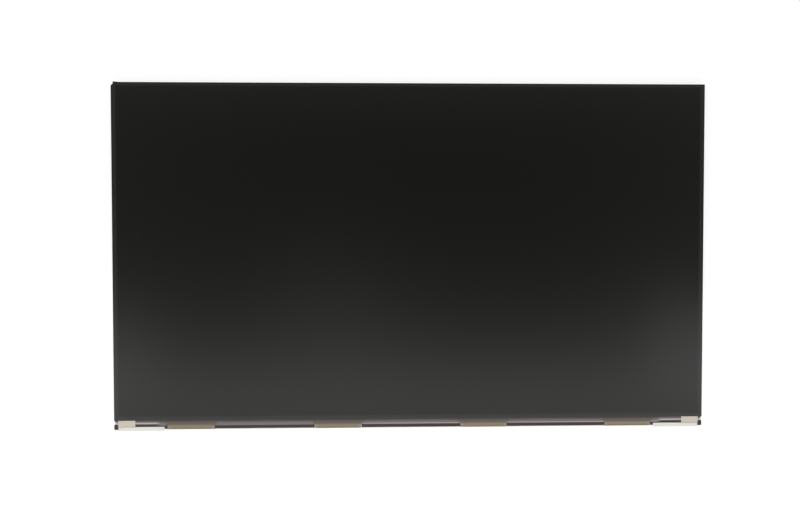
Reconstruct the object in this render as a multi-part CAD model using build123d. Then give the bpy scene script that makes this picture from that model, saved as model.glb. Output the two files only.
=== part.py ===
from build123d import *

import os
from math import radians, sqrt, tan

# A borderless 15.6 inch liquid-crystal laptop panel, lying on its back with the picture facing +Z.
# X runs along the width and Y up the picture. The origin is under the middle of the outline, level
# with the lowest face of the part. All sizes are in millimetres.

# Picture and glass cell
ACTIVE_WIDTH = 344.16
ACTIVE_HEIGHT = 193.59
SIDE_BORDER = 2.72
TOP_BORDER = 2.10
BOTTOM_BORDER = 2.60
GLASS_THICKNESS = 0.30
LEDGE_DEPTH = 3.15  # rear glass left bare below the front glass, for the driver films
LEDGE_CORNER_CUT = 3.10
TOP_CORNER_CUT = 1.90
POLARIZER_THICKNESS = 0.15
POLARIZER_INSET = 0.20
POLARIZER_CORNER_RADIUS = 0.60

# Backlight stack
PANEL_AIR_GAP = 0.05  # between the rear polarizer and the uppermost sheet
PRISM_THICKNESS = 0.16
DIFFUSER_THICKNESS = 0.12
GUIDE_THICKNESS = 0.55
REFLECTOR_THICKNESS = 0.15
SHEET_OVERLAP = 0.90  # how far the sheets reach past the picture at the sides and the top
SHEET_OVERLAP_BOTTOM = 1.50
SHEET_GAP = 0.10
SHEET_CORNER_CUT = 2.00  # marks which way round a sheet lies
GUIDE_EAR_LENGTH = 8.00
GUIDE_EAR_DEPTH = 0.55
GUIDE_EAR_SPACING = 120.00

# Light-shield tape between the backlight and the glass
RIM_REVEAL = 0.50
RIM_INSET = 0.10
RIM_RAIL_INSET = 0.40  # white rail left showing below the tape
RIM_CORNER_REACH = 0.70  # how far it shows past the glass beside the corner lips

# Light-emitting diodes and their flex
LED_COUNT = 48
LED_WIDTH = 3.80
LED_DEPTH = 0.90
LED_HEIGHT = 0.50
LED_WINDOW_WIDTH = 3.00
LED_WINDOW_HEIGHT = 0.28
LED_WINDOW_DEPTH = 0.25
LED_GAP = 0.05
LED_FLEX_WIDTH = 3.10
TAIL_WIDTH = 12.00
TAIL_LEAD = 0.10
TAIL_GAP = 0.10

# Mould frame
FRAME_FIT_GAP = 0.05
RAIL_REACH = 2.30  # rail teeth standing out past the edge of the rear glass
LIP_DEPTH = 0.75
LIP_CORNER_RADIUS = 0.40
TOOTH_WIDTH = 1.80  # tooth between the last film's notch and the corner lip
HOOK_LENGTH = 8.00
HOOK_DEPTH = 0.25
HOOK_HEIGHT = 0.35
HOOK_RISE = 0.25
HOOK_GAP = 0.10
SIDE_HOOKS = 2
SIDE_HOOK_PITCH = 70.00
TOP_HOOKS = 3
TOP_HOOK_PITCH = 110.00

# Back plate
PLATE_THICKNESS = 0.30
PLATE_SETBACK = 0.60
FLANGE_HEIGHT = 0.90
FLANGE_SETBACK = 0.60
FLANGE_RELIEF = 2.00
BEND_RADIUS = 0.35
EMBOSS_DEPTH = 0.30
EMBOSS_DRAFT = 30.00
EMBOSS_CORNER_RADIUS = 1.50
LAND_WIDTH = 10.00
LAND_LENGTH = 150.00
LAND_INSET = 5.00
BEAD_COUNT = 4
BEAD_LENGTH = 240.00
BEAD_WIDTH = 6.00
BEAD_PITCH = 32.00

# Edge tapes
TAPE_THICKNESS = 0.10
TAPE_LAP = 4.00
TAPE_BUTT_GAP = 0.20
NOTCH_TOP = 1.10  # open corner at the upper left, where the two tapes don't meet
NOTCH_SIDE = 2.10
FLAP_LENGTH = 4.40
FLAP_LIFT = 0.30

# Corner bumpers and corner tapes
BUMPER_WIDTH = 2.30
BUMPER_LENGTH = 3.10
BUMPER_SETBACK = 0.70
BUMPER_RADIUS = 0.60
BUMPER_EDGE_RADIUS = 0.15
CORNER_TAPE_WIDTH = 10.00
CORNER_TAPE_THICKNESS = 0.12
CORNER_TAPE_GAP = 0.10
CORNER_TAPE_STEP = 0.12
CORNER_TAPE_FOOT = 0.31

# Driver films and their chips
FILM_COUNT = 4
FILM_END_INSET = 28.48  # from the side of the picture to the outermost film
FILM_WIDTH = 27.40
FILM_THICKNESS = 0.08
FILM_BOND_GAP = 0.40
FILM_LEAD = 1.00
FILM_CORNER_CUT = 0.60
FILM_BOARD_LAP = 2.00
FILM_NOTCH_GAP = 0.15
DRIVER_CHIP_LENGTH = 22.00
DRIVER_CHIP_WIDTH = 1.20
DRIVER_CHIP_HEIGHT = 0.45

# Driver board
BOARD_THICKNESS = 0.60
BOARD_SETBACK = 6.30
BOARD_NARROW = 8.00
BOARD_WIDE = 13.00
BOARD_WIDE_LEFT = 26.00  # reach of the wide stretch on either side of the connector
BOARD_WIDE_RIGHT = 100.00
BOARD_END_MARGIN = 2.50
BOARD_CORNER_RADIUS = 1.00
BOARD_HOLE_DIAMETER = 2.00
BOARD_HOLE_INSET = 4.00
BOARD_TAPE_THICKNESS = 0.10
BOARD_TAPE_INSET = 1.00

# Display connector
CONNECTOR_HEIGHT = 1.10
CONNECTOR_DEPTH = 3.60
CONNECTOR_END = 2.00
CONNECTOR_INSET = 0.40
CONTACT_COUNT = 30
CONTACT_PITCH = 0.50
CONTACT_WIDTH = 0.22
CONTACT_THICKNESS = 0.12
CONTACT_SETBACK = 0.30
CONTACT_BEND_GAP = 0.10
CONTACT_FOOT = 0.60
CONTACT_FREE_GAP = 0.02
SLOT_HEIGHT = 0.45
SLOT_DEPTH = 2.60
SLOT_FLOOR = 0.25
SLOT_END_GAP = 0.70
SHELL_THICKNESS = 0.12
SHELL_DEPTH = 3.00
SHELL_SETBACK = 0.20
SHELL_FOOT = 0.80
SHELL_WINDOW_LENGTH = 3.00
SHELL_WINDOW_WIDTH = 1.20
SHELL_WINDOW_SPACING = 9.00

# Parts on the board
CHIP_CHAMFER = 0.08
TIMING_CHIP_SIDE = 8.00
TIMING_CHIP_HEIGHT = 0.85
TIMING_CHIP_RISE = 7.00  # middle of the chip above the lower edge of the board
POWER_CHIP_SIDE = 5.00
POWER_CHIP_HEIGHT = 0.75
POWER_CHIP_OFFSET = 20.00
POWER_CHIP_RISE = 7.50
BACKLIGHT_CHIP_SIDE = 4.00
BACKLIGHT_CHIP_HEIGHT = 0.75
BACKLIGHT_CHIP_OFFSET = 16.00
BACKLIGHT_CHIP_RISE = 5.00
MEMORY_CHIP_LENGTH = 3.00
MEMORY_CHIP_WIDTH = 2.00
MEMORY_CHIP_HEIGHT = 0.55
MEMORY_CHIP_OFFSET = 11.00
MEMORY_CHIP_RISE = 8.00
INDUCTOR_SIDE = 4.00
INDUCTOR_HEIGHT = 1.00
INDUCTOR_CORNER_RADIUS = 0.90
DRUM_RADIUS = 1.40  # wound drum inside its square shield
DRUM_GAP = 0.25
DRUM_SINK = 0.45
INDUCTOR_OFFSET = 7.00
DIODE_LENGTH = 1.70
DIODE_WIDTH = 1.25
DIODE_HEIGHT = 0.70
DIODE_OFFSET = 12.00
CAPACITOR_LENGTH = 1.00
CAPACITOR_WIDTH = 0.50
CAPACITOR_HEIGHT = 0.50
RESISTOR_LENGTH = 1.00
RESISTOR_WIDTH = 0.50
RESISTOR_HEIGHT = 0.35
FILM_CAPACITORS = 5
FILM_RESISTORS = 4
PASSIVE_PITCH = 4.00
CAPACITOR_ROW_RISE = 4.60
RESISTOR_ROW_RISE = 6.10
CHIP_CAPACITORS = 4
CHIP_CAPACITOR_PITCH = 1.80
CHIP_CAPACITOR_GAP = 1.20
GROUND_TAPE_THICKNESS = 0.10
GROUND_TAPE_WIDTH = 8.00
GROUND_TAPE_LAP = 0.90
GROUND_TAPE_SLOPE = 0.90
GROUND_TAPE_RUN = 6.00

# Places across the width
edge_x = ACTIVE_WIDTH / 2 + SIDE_BORDER
frame_x = edge_x - PLATE_THICKNESS - FRAME_FIT_GAP
sheet_x = ACTIVE_WIDTH / 2 + SHEET_OVERLAP
window_x = sheet_x + SHEET_GAP
rim_window_x = ACTIVE_WIDTH / 2 + RIM_REVEAL
film_pitch = (ACTIVE_WIDTH - 2 * FILM_END_INSET - FILM_WIDTH) / (FILM_COUNT - 1)
film_places = [(index - (FILM_COUNT - 1) / 2) * film_pitch for index in range(FILM_COUNT)]
notch_width = FILM_WIDTH + 2 * FILM_NOTCH_GAP
bumper_outer_x = edge_x + TAPE_THICKNESS
lip_outer_x = bumper_outer_x - BUMPER_WIDTH
lip_inner_x = film_places[-1] + notch_width / 2 + TOOTH_WIDTH
connector_x = film_places[0] + film_pitch / 2
tail_x = film_places[-1] - film_pitch / 2
tail_half = TAIL_WIDTH / 2 + TAIL_GAP
timing_x = (film_places[0] + film_places[-1]) / 2
board_end_x = film_places[-1] + FILM_WIDTH / 2 + BOARD_END_MARGIN

# Places up the picture, from the lower edge of the lips
height = LIP_DEPTH + RAIL_REACH + LEDGE_DEPTH + BOTTOM_BORDER + ACTIVE_HEIGHT + TOP_BORDER
height += TAPE_THICKNESS + FLAP_LIFT
bottom_y = -height / 2
rail_y = bottom_y + LIP_DEPTH
ledge_y = rail_y + RAIL_REACH
front_glass_y = ledge_y + LEDGE_DEPTH
active_bottom = front_glass_y + BOTTOM_BORDER
active_top = active_bottom + ACTIVE_HEIGHT
edge_top = active_top + TOP_BORDER
frame_top_y = edge_top - PLATE_THICKNESS - FRAME_FIT_GAP
sheet_bottom = active_bottom - SHEET_OVERLAP_BOTTOM
sheet_top = active_top + SHEET_OVERLAP
sheet_middle = (sheet_bottom + sheet_top) / 2
rail_inner_y = sheet_bottom - LED_DEPTH - 2 * LED_GAP
flex_outer_y = rail_inner_y + LED_GAP
flex_inner_y = flex_outer_y + LED_FLEX_WIDTH
tail_bend_y = flex_outer_y - TAIL_LEAD
bumper_bottom = bottom_y + BUMPER_SETBACK
bumper_top = bumper_bottom + BUMPER_LENGTH
plate_bottom = ledge_y + PLATE_SETBACK
flange_bottom = front_glass_y + FLANGE_SETBACK
plate_middle = (plate_bottom + edge_top) / 2
film_bend_y = ledge_y - FILM_LEAD
board_bottom = ledge_y + BOARD_SETBACK
film_end_y = board_bottom + FILM_BOARD_LAP

# Heights, from the outer face of the connector
board_rear = CONNECTOR_HEIGHT
board_front = board_rear + BOARD_THICKNESS
plate_rear = board_front + BOARD_TAPE_THICKNESS
plate_front = plate_rear + PLATE_THICKNESS
flange_top = plate_front + FLANGE_HEIGHT
flex_front = plate_front + REFLECTOR_THICKNESS  # the flex is as thick as the reflector beside it
guide_front = flex_front + GUIDE_THICKNESS
diffuser_front = guide_front + DIFFUSER_THICKNESS
lower_prism_front = diffuser_front + PRISM_THICKNESS
frame_front = lower_prism_front + PRISM_THICKNESS
rear_glass_rear = frame_front + PANEL_AIR_GAP + POLARIZER_THICKNESS
rear_glass_front = rear_glass_rear + GLASS_THICKNESS
front_glass_front = rear_glass_front + GLASS_THICKNESS
draft_run = EMBOSS_DEPTH * tan(radians(EMBOSS_DRAFT))

SPARE = 1.00  # how far a cutting body stands out past what it cuts


def patch(x0, x1, y0, y1):
    """A rectangle in plan between two corners."""
    return Pos((x0 + x1) / 2, (y0 + y1) / 2) * Rectangle(abs(x1 - x0), abs(y1 - y0))


def layer(plan, z0, z1):
    """A plan outline raised from one height to another."""
    return Pos(0, 0, z0) * extrude(plan, z1 - z0)


def slab(x0, x1, y0, y1, z0, z1):
    """A block between two corners."""
    return layer(patch(x0, x1, y0, y1), z0, z1)


def corner_cut(x, y, leg):
    """A diamond in plan that cuts a corner off at 45 degrees."""
    return Pos(x, y) * Rectangle(leg * sqrt(2), leg * sqrt(2), rotation=45)


def across(outline, x0, x1):
    """A closed outline of (y, z) lines and arcs, run along X from x0 to x1."""
    return extrude(Plane.YZ.offset(min(x0, x1)) * make_face(outline), abs(x1 - x0))


def row(count, pitch):
    """Evenly spaced places about zero."""
    return [(index - (count - 1) / 2) * pitch for index in range(count)]


def front_polarizer():
    """Matte anti-glare film on the front glass, a little smaller than the glass."""
    plan = patch(
        -edge_x + POLARIZER_INSET,
        edge_x - POLARIZER_INSET,
        front_glass_y + POLARIZER_INSET,
        edge_top - POLARIZER_INSET,
    )
    plan = fillet(plan.vertices(), POLARIZER_CORNER_RADIUS)
    plan -= corner_cut(-edge_x, edge_top, TOP_CORNER_CUT + POLARIZER_INSET)
    return layer(plan, front_glass_front, front_glass_front + POLARIZER_THICKNESS)


def color_filter_glass():
    """Front glass of the cell."""
    plan = patch(-edge_x, edge_x, front_glass_y, edge_top)
    plan -= corner_cut(-edge_x, edge_top, TOP_CORNER_CUT)
    return layer(plan, rear_glass_front, front_glass_front)


def tft_glass():
    """Rear glass of the cell, longer by the ledge that takes the driver films."""
    plan = patch(-edge_x, edge_x, ledge_y, edge_top)
    plan -= corner_cut(-edge_x, edge_top, TOP_CORNER_CUT)
    for side in (-1, 1):
        plan -= corner_cut(side * edge_x, ledge_y, LEDGE_CORNER_CUT)
    return layer(plan, rear_glass_rear, rear_glass_front)


def rear_polarizer():
    """Film on the back of the rear glass, inside the window of the light-shield tape."""
    plan = patch(
        -rim_window_x + SHEET_GAP,
        rim_window_x - SHEET_GAP,
        active_bottom - RIM_REVEAL + SHEET_GAP,
        active_top + RIM_REVEAL - SHEET_GAP,
    )
    return layer(plan, rear_glass_rear - POLARIZER_THICKNESS, rear_glass_rear)


def film_notches(depth_to):
    """Gaps in plan where the driver films pass, open at the lower edge."""
    return [
        patch(x - notch_width / 2, x + notch_width / 2, bottom_y - SPARE, depth_to) for x in film_places
    ]


def rim_tape():
    """Black die-cut tape that holds the glass to the mould frame and shows on the rail between films."""
    rim_x = frame_x - RIM_INSET
    plan = patch(-rim_x, rim_x, ledge_y, frame_top_y - RIM_INSET)
    plan -= corner_cut(-edge_x, edge_top, TOP_CORNER_CUT + RIM_INSET)
    for side in (-1, 1):
        plan -= corner_cut(side * rim_x, ledge_y, LEDGE_CORNER_CUT)
    skirt_x = rim_x - LEDGE_CORNER_CUT
    plan += patch(-skirt_x, skirt_x, ledge_y - RIM_CORNER_REACH, ledge_y)
    plan += patch(-lip_inner_x, lip_inner_x, rail_y + RIM_RAIL_INSET, ledge_y)
    plan -= film_notches(ledge_y + RIM_INSET)
    plan -= patch(-rim_window_x, rim_window_x, active_bottom - RIM_REVEAL, active_top + RIM_REVEAL)
    return layer(plan, frame_front, rear_glass_rear)


def sheet_plan(bottom):
    """Outline that the backlight's sheets share, with one upper corner cut."""
    plan = patch(-sheet_x, sheet_x, bottom, sheet_top)
    return plan - corner_cut(sheet_x, sheet_top, SHEET_CORNER_CUT)


def guide_ears(gap):
    """Ears in plan that stop the light guide from sliding, or their seats when gap is added."""
    half = GUIDE_EAR_LENGTH / 2 + gap
    return [
        patch(side * (sheet_x - SPARE), side * (sheet_x + GUIDE_EAR_DEPTH + gap), y - half, y + half)
        for side in (-1, 1)
        for y in [sheet_middle + place for place in row(2, GUIDE_EAR_SPACING)]
    ]


def light_guide_plate():
    """Clear acrylic plate, lit along its lower edge."""
    plan = patch(-sheet_x, sheet_x, sheet_bottom, sheet_top) + guide_ears(0)
    return layer(plan, flex_front, guide_front)


def led_flex():
    """Flexible circuit under the diodes, with a tail folded back to the driver board."""
    strip = slab(-sheet_x, sheet_x, flex_outer_y, flex_inner_y, plate_front, flex_front)
    tail = folded_film(tail_x, TAIL_WIDTH, flex_outer_y, plate_front, tail_bend_y, REFLECTOR_THICKNESS)
    return strip + tail


def led_packages():
    """Side-view diodes that face the edge of the light guide, each with a sunk window."""
    face_y = sheet_bottom - LED_GAP
    middle = flex_front + LED_HEIGHT / 2
    packages = []
    for x in row(LED_COUNT, ACTIVE_WIDTH / LED_COUNT):
        left = x - LED_WIDTH / 2
        right = x + LED_WIDTH / 2
        package = slab(left, right, face_y - LED_DEPTH, face_y, flex_front, flex_front + LED_HEIGHT)
        package -= slab(
            x - LED_WINDOW_WIDTH / 2,
            x + LED_WINDOW_WIDTH / 2,
            face_y - LED_WINDOW_DEPTH,
            face_y + SPARE,
            middle - LED_WINDOW_HEIGHT / 2,
            middle + LED_WINDOW_HEIGHT / 2,
        )
        packages.append(package)
    return Compound(children=packages)


def hook_blocks(depth, gap):
    """Snap hooks round the outside of the mould frame, or the windows for them when gap is added."""
    half = HOOK_LENGTH / 2 + gap
    low = plate_front + HOOK_RISE - gap
    high = plate_front + HOOK_RISE + HOOK_HEIGHT + gap
    blocks = []
    for y in [sheet_middle + place for place in row(SIDE_HOOKS, SIDE_HOOK_PITCH)]:
        for side in (-1, 1):
            blocks.append(slab(side * frame_x, side * (frame_x + depth), y - half, y + half, low, high))
    for x in row(TOP_HOOKS, TOP_HOOK_PITCH):
        blocks.append(slab(x - half, x + half, frame_top_y, frame_top_y + depth, low, high))
    return blocks


def mold_frame():
    """White frame round the backlight, with a notched rail and two corner lips along the lower edge."""
    upper_start = flange_bottom - FRAME_FIT_GAP
    plan = patch(-frame_x, frame_x, upper_start, frame_top_y)
    block_x = edge_x - FRAME_FIT_GAP
    plan += patch(-block_x, block_x, bumper_top, upper_start)
    plan += patch(-lip_inner_x, lip_inner_x, rail_y, bumper_top)
    for side in (-1, 1):
        plan += patch(side * lip_inner_x, side * lip_outer_x, bottom_y, bumper_top)
    plan = fillet(plan.vertices().group_by(Axis.Y)[0], LIP_CORNER_RADIUS)
    plan -= film_notches(ledge_y)
    plan -= patch(-window_x, window_x, rail_inner_y, sheet_top + SHEET_GAP)
    plan -= corner_cut(-edge_x, edge_top, TOP_CORNER_CUT)
    body = layer(plan, plate_front, frame_front)
    for seat in guide_ears(SHEET_GAP):
        body -= layer(seat, plate_front, frame_front)
    tail_reach = tail_bend_y - (plate_front - board_rear) / 2 - REFLECTOR_THICKNESS - TAIL_GAP
    tail_seat = patch(tail_x - tail_half, tail_x + tail_half, tail_reach, rail_inner_y)
    body -= layer(tail_seat, plate_front, flex_front + TAIL_GAP)
    return body + hook_blocks(HOOK_DEPTH, 0)


def emboss(plate, outlines):
    """Press a raised patch into the back plate: the first outline goes out, the second hollows it."""
    heights = (plate_rear, plate_front)
    raised, hollow = [
        extrude(Pos(0, 0, z) * outline, EMBOSS_DEPTH, dir=(0, 0, -1), taper=EMBOSS_DRAFT)
        for outline, z in zip(outlines, heights)
    ]
    return plate + raised - hollow


def back_plate():
    """Pressed aluminium tray with three low flanges, stiffening beads and two flat adhesive lands."""
    plate = slab(-edge_x, edge_x, plate_bottom, edge_top, plate_rear, flange_top)
    plate = fillet(plate.edges().group_by(Axis.Z)[0].sort_by(Axis.Y)[1:], BEND_RADIUS)
    inner_x = edge_x - PLATE_THICKNESS
    above = flange_top + SPARE
    plate -= slab(-inner_x, inner_x, plate_bottom, edge_top - PLATE_THICKNESS, plate_front, above)
    plate -= slab(-edge_x, edge_x, plate_bottom, flange_bottom, plate_front, above)
    for side in (-1, 1):
        relief_x = side * (edge_x - FLANGE_RELIEF)
        plate -= slab(relief_x, side * edge_x, edge_top - FLANGE_RELIEF, edge_top, plate_front, above)
    plate -= layer(corner_cut(-edge_x, edge_top, TOP_CORNER_CUT), plate_rear, plate_front)
    plate -= hook_blocks(PLATE_THICKNESS + FRAME_FIT_GAP, HOOK_GAP)
    tail_slot = patch(tail_x - tail_half, tail_x + tail_half, plate_bottom, tail_bend_y + TAIL_GAP)
    plate -= layer(tail_slot, plate_rear, plate_front)
    growths = (draft_run, draft_run - PLATE_THICKNESS)  # the hollow is smaller by the sheet's thickness
    for side in (-1, 1):
        place = Pos(side * (edge_x - LAND_INSET - LAND_WIDTH / 2), plate_middle)
        outlines = []
        for grow in growths:
            size = (LAND_WIDTH + 2 * grow, LAND_LENGTH + 2 * grow)
            outlines.append(place * RectangleRounded(*size, EMBOSS_CORNER_RADIUS + grow))
        plate = emboss(plate, outlines)
    for y in row(BEAD_COUNT, BEAD_PITCH):
        place = Pos(0, plate_middle + y)
        outlines = [place * SlotOverall(BEAD_LENGTH + 2 * grow, BEAD_WIDTH + 2 * grow) for grow in growths]
        plate = emboss(plate, outlines)
    return plate


def tape_section(lap):
    """L-section of an edge tape: a wall up to the front glass, and a lap on the back of the plate."""
    wall = front_glass_front - plate_rear + TAPE_THICKNESS
    outer = Rectangle(lap, wall, align=(Align.MIN, Align.MIN))
    outer = fillet(outer.vertices().sort_by_distance((0, 0))[0], BEND_RADIUS + TAPE_THICKNESS)
    inner = Rectangle(lap + SPARE, wall + SPARE, align=(Align.MIN, Align.MIN))
    inner = fillet(inner.vertices().sort_by_distance((0, 0))[0], BEND_RADIUS)
    return outer - Pos(TAPE_THICKNESS, TAPE_THICKNESS) * inner


def edge_tape(corner, inward, along, length):
    """An edge tape with its outer lower corner on a line from corner, running along it."""
    plane = Plane(corner, x_dir=inward, z_dir=along)
    return extrude(plane * tape_section(TAPE_LAP + TAPE_THICKNESS), length)


def side_edge_tape(side, end_y):
    """Black tape on a side edge. Its lap stops below the top tape's lap, and its wall runs on to end_y."""
    x = side * (edge_x + TAPE_THICKNESS)
    z = plate_rear - TAPE_THICKNESS
    inward = (-side, 0, 0)
    lap_end = edge_top - TAPE_LAP - TAPE_BUTT_GAP
    start = (x, front_glass_y, z) if side > 0 else (x, lap_end, z)
    tape = edge_tape(start, inward, (0, side, 0), lap_end - front_glass_y)
    return tape + slab(side * edge_x, x, lap_end, end_y, plate_rear + BEND_RADIUS, front_glass_front)


def top_edge_tape():
    """Black tape on the top edge, with its left end bunched up into the cut corner."""
    right_x = edge_x + TAPE_THICKNESS
    left_x = -edge_x + NOTCH_TOP
    outer_y = edge_top + TAPE_THICKNESS
    start = (right_x, outer_y, plate_rear - TAPE_THICKNESS)
    flap_x = left_x + FLAP_LENGTH
    tape = edge_tape(start, (0, -1, 0), (-1, 0, 0), right_x - flap_x)
    flap = make_face(
        Polyline(
            (flap_x, edge_top),
            (-edge_x + TOP_CORNER_CUT, edge_top),
            (left_x, edge_top + NOTCH_TOP - TOP_CORNER_CUT),
            (left_x, outer_y + FLAP_LIFT),
            (flap_x, outer_y),
            close=True,
        )
    )
    return tape + layer(flap, plate_rear + BEND_RADIUS, front_glass_front)


def corner_bumper(side):
    """Black rubber block in the lower corner, beside the lip."""
    plan = patch(side * lip_outer_x, side * bumper_outer_x, bumper_bottom, bumper_top)
    outer_corners = plan.vertices().group_by(Axis.X)[-1 if side > 0 else 0]
    plan = fillet(outer_corners, BUMPER_RADIUS)
    block = layer(plan, plate_front, rear_glass_front)
    outer_face = block.faces().sort_by(Axis.Z)[-1]
    return fillet(outer_face.edges(), BUMPER_EDGE_RADIUS)


def draped_tape(points, x0, x1, thickness):
    """A thin tape laid through (y, z) points. Its thickness is added in Z, downwards if negative."""
    over = [(y, z + thickness) for y, z in reversed(points)]
    return across(Polyline(*points, *over, close=True), x0, x1)


def corner_tape(side):
    """Cream cloth tape from the ledge of the glass over its edge and down onto the lip."""
    skirt_y = ledge_y - RIM_CORNER_REACH
    foot_y = skirt_y - CORNER_TAPE_STEP
    points = [
        (front_glass_y - CORNER_TAPE_GAP, rear_glass_front),
        (ledge_y, rear_glass_front),
        (skirt_y, rear_glass_rear),
        (foot_y, frame_front),
        (foot_y - CORNER_TAPE_FOOT, frame_front),
    ]
    inner_x = lip_outer_x - CORNER_TAPE_WIDTH
    return draped_tape(points, side * inner_x, side * lip_outer_x, CORNER_TAPE_THICKNESS)


def folded_film(x, width, start_y, upper_z, bend_y, thickness):
    """A film that lies on upper_z, turns back round a half circle and lies under the driver board."""
    middle_z = (upper_z + board_rear) / 2
    inner = (upper_z - board_rear) / 2
    outer = inner + thickness
    lower_z = board_rear - thickness
    outline = [
        Line((start_y, upper_z), (bend_y, upper_z)),
        ThreePointArc((bend_y, upper_z), (bend_y - inner, middle_z), (bend_y, board_rear)),
        Polyline((bend_y, board_rear), (film_end_y, board_rear), (film_end_y, lower_z), (bend_y, lower_z)),
        ThreePointArc((bend_y, lower_z), (bend_y - outer, middle_z), (bend_y, upper_z + thickness)),
        Polyline((bend_y, upper_z + thickness), (start_y, upper_z + thickness), (start_y, upper_z)),
    ]
    return across(outline, x - width / 2, x + width / 2)


def driver_film(x):
    """Polyimide film bonded to the ledge, folded round the edge to the driver board behind."""
    start_y = front_glass_y - FILM_BOND_GAP
    film = folded_film(x, FILM_WIDTH, start_y, rear_glass_front, film_bend_y, FILM_THICKNESS)
    for corner_x in (x - FILM_WIDTH / 2, x + FILM_WIDTH / 2):
        cut = corner_cut(corner_x, start_y, FILM_CORNER_CUT)
        film -= layer(cut, rear_glass_front, rear_glass_front + FILM_THICKNESS)
    return film


def driver_chip(x):
    """Bare chip on the inner face of a driver film, between the fold and the board."""
    y = (film_bend_y + board_bottom) / 2
    return slab(
        x - DRIVER_CHIP_LENGTH / 2,
        x + DRIVER_CHIP_LENGTH / 2,
        y - DRIVER_CHIP_WIDTH / 2,
        y + DRIVER_CHIP_WIDTH / 2,
        board_rear,
        board_rear + DRIVER_CHIP_HEIGHT,
    )


def board_plan(inset):
    """Outline of the driver board: a long strip with a deeper stretch for the connector and main chips."""
    low = board_bottom + inset
    plan = patch(-board_end_x + inset, board_end_x - inset, low, board_bottom + BOARD_NARROW - inset)
    left = connector_x - BOARD_WIDE_LEFT + inset
    right = connector_x + BOARD_WIDE_RIGHT - inset
    return plan + patch(left, right, low, board_bottom + BOARD_WIDE - inset)


def driver_board():
    """Rigid circuit board behind the lower edge, with a tooling hole near each end."""
    board = layer(board_plan(0), board_rear, board_front)
    board = fillet(board.edges().filter_by(Axis.Z), BOARD_CORNER_RADIUS)
    hole = layer(Circle(BOARD_HOLE_DIAMETER / 2), board_rear, board_front)
    for side in (-1, 1):
        board -= Pos(side * (board_end_x - BOARD_HOLE_INSET), board_bottom + BOARD_NARROW / 2) * hole
    return board


def board_tape():
    """Double-sided tape between the board and the back plate."""
    return layer(board_plan(BOARD_TAPE_INSET), board_front, plate_rear)


def ground_tape(x):
    """Conductive cloth tape from the upper edge of the board down onto the back plate."""
    board_top = board_bottom + BOARD_NARROW
    points = [
        (board_top - GROUND_TAPE_LAP, board_rear),
        (board_top, board_rear),
        (board_top + GROUND_TAPE_SLOPE, plate_rear),
        (board_top + GROUND_TAPE_SLOPE + GROUND_TAPE_RUN, plate_rear),
    ]
    half = GROUND_TAPE_WIDTH / 2
    return draped_tape(points, x - half, x + half, -GROUND_TAPE_THICKNESS)


contact_span = (CONTACT_COUNT - 1) * CONTACT_PITCH
housing_x = contact_span / 2 + CONNECTOR_END
mouth_y = board_bottom + CONNECTOR_INSET
housing_back = mouth_y + CONNECTOR_DEPTH
slot_low = SHELL_THICKNESS + SLOT_FLOOR
slot_high = slot_low + SLOT_HEIGHT


def connector_housing():
    """Moulded connector body with a slot facing the lower edge, open at the back for the contacts."""
    outer_left = connector_x - housing_x
    outer_right = connector_x + housing_x
    body = slab(outer_left, outer_right, mouth_y, housing_back, SHELL_THICKNESS, board_rear)
    slot_x = contact_span / 2 + SLOT_END_GAP
    left = connector_x - slot_x
    right = connector_x + slot_x
    body -= slab(left, right, mouth_y - SPARE, mouth_y + SLOT_DEPTH, slot_low, slot_high)
    passage_low = slot_high - CONTACT_THICKNESS - CONTACT_FREE_GAP
    return body - slab(left, right, mouth_y, housing_back + SPARE, passage_low, slot_high)


def connector_shell():
    """Folded tinned shell over the connector, with soldered feet and two windows."""
    inner = housing_x
    outer = housing_x + SHELL_THICKNESS
    plan = Rectangle(2 * outer, board_rear, align=(Align.CENTER, Align.MIN))
    plan -= Pos(0, SHELL_THICKNESS) * Rectangle(2 * inner, board_rear, align=(Align.CENTER, Align.MIN))
    for side in (-1, 1):
        plan += patch(side * inner, side * (outer + SHELL_FOOT), board_rear - SHELL_THICKNESS, board_rear)
    back = mouth_y + SHELL_SETBACK + SHELL_DEPTH
    shell = extrude(Plane((connector_x, back, 0), x_dir=(1, 0, 0), z_dir=(0, -1, 0)) * plan, SHELL_DEPTH)
    window_y = back - SHELL_DEPTH / 2
    for x in row(2, SHELL_WINDOW_SPACING):
        x += connector_x
        shell -= slab(
            x - SHELL_WINDOW_LENGTH / 2,
            x + SHELL_WINDOW_LENGTH / 2,
            window_y - SHELL_WINDOW_WIDTH / 2,
            window_y + SHELL_WINDOW_WIDTH / 2,
            0,
            SHELL_THICKNESS,
        )
    return shell


def connector_contacts():
    """Contact strips along the slot, stepped at the back down to their solder feet."""
    low = slot_high - CONTACT_THICKNESS
    leg_y = housing_back + CONTACT_BEND_GAP
    leg_back = leg_y + CONTACT_THICKNESS
    foot_low = board_rear - CONTACT_THICKNESS
    tip_y = mouth_y + CONTACT_SETBACK
    outline = Polyline(
        (tip_y, low),
        (leg_back, low),
        (leg_back, foot_low),
        (leg_back + CONTACT_FOOT, foot_low),
        (leg_back + CONTACT_FOOT, board_rear),
        (leg_y, board_rear),
        (leg_y, slot_high),
        (tip_y, slot_high),
        close=True,
    )
    half = CONTACT_WIDTH / 2
    places = [connector_x + place for place in row(CONTACT_COUNT, CONTACT_PITCH)]
    return Compound(children=[across(outline, x - half, x + half) for x in places])


def on_board(x, rise, length, width, height):
    """A block soldered to the board: x is its middle, rise its middle above the board's lower edge."""
    block = layer(Rectangle(length, width), board_rear - height, board_rear)
    return Pos(x, board_bottom + rise) * block


def chip(x, rise, length, width, height):
    """Moulded chip package with its outer edges bevelled."""
    body = on_board(x, rise, length, width, height)
    return chamfer(body.faces().sort_by(Axis.Z)[0].edges(), CHIP_CHAMFER)


power_x = connector_x + POWER_CHIP_OFFSET
backlight_x = tail_x - BACKLIGHT_CHIP_OFFSET


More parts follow.
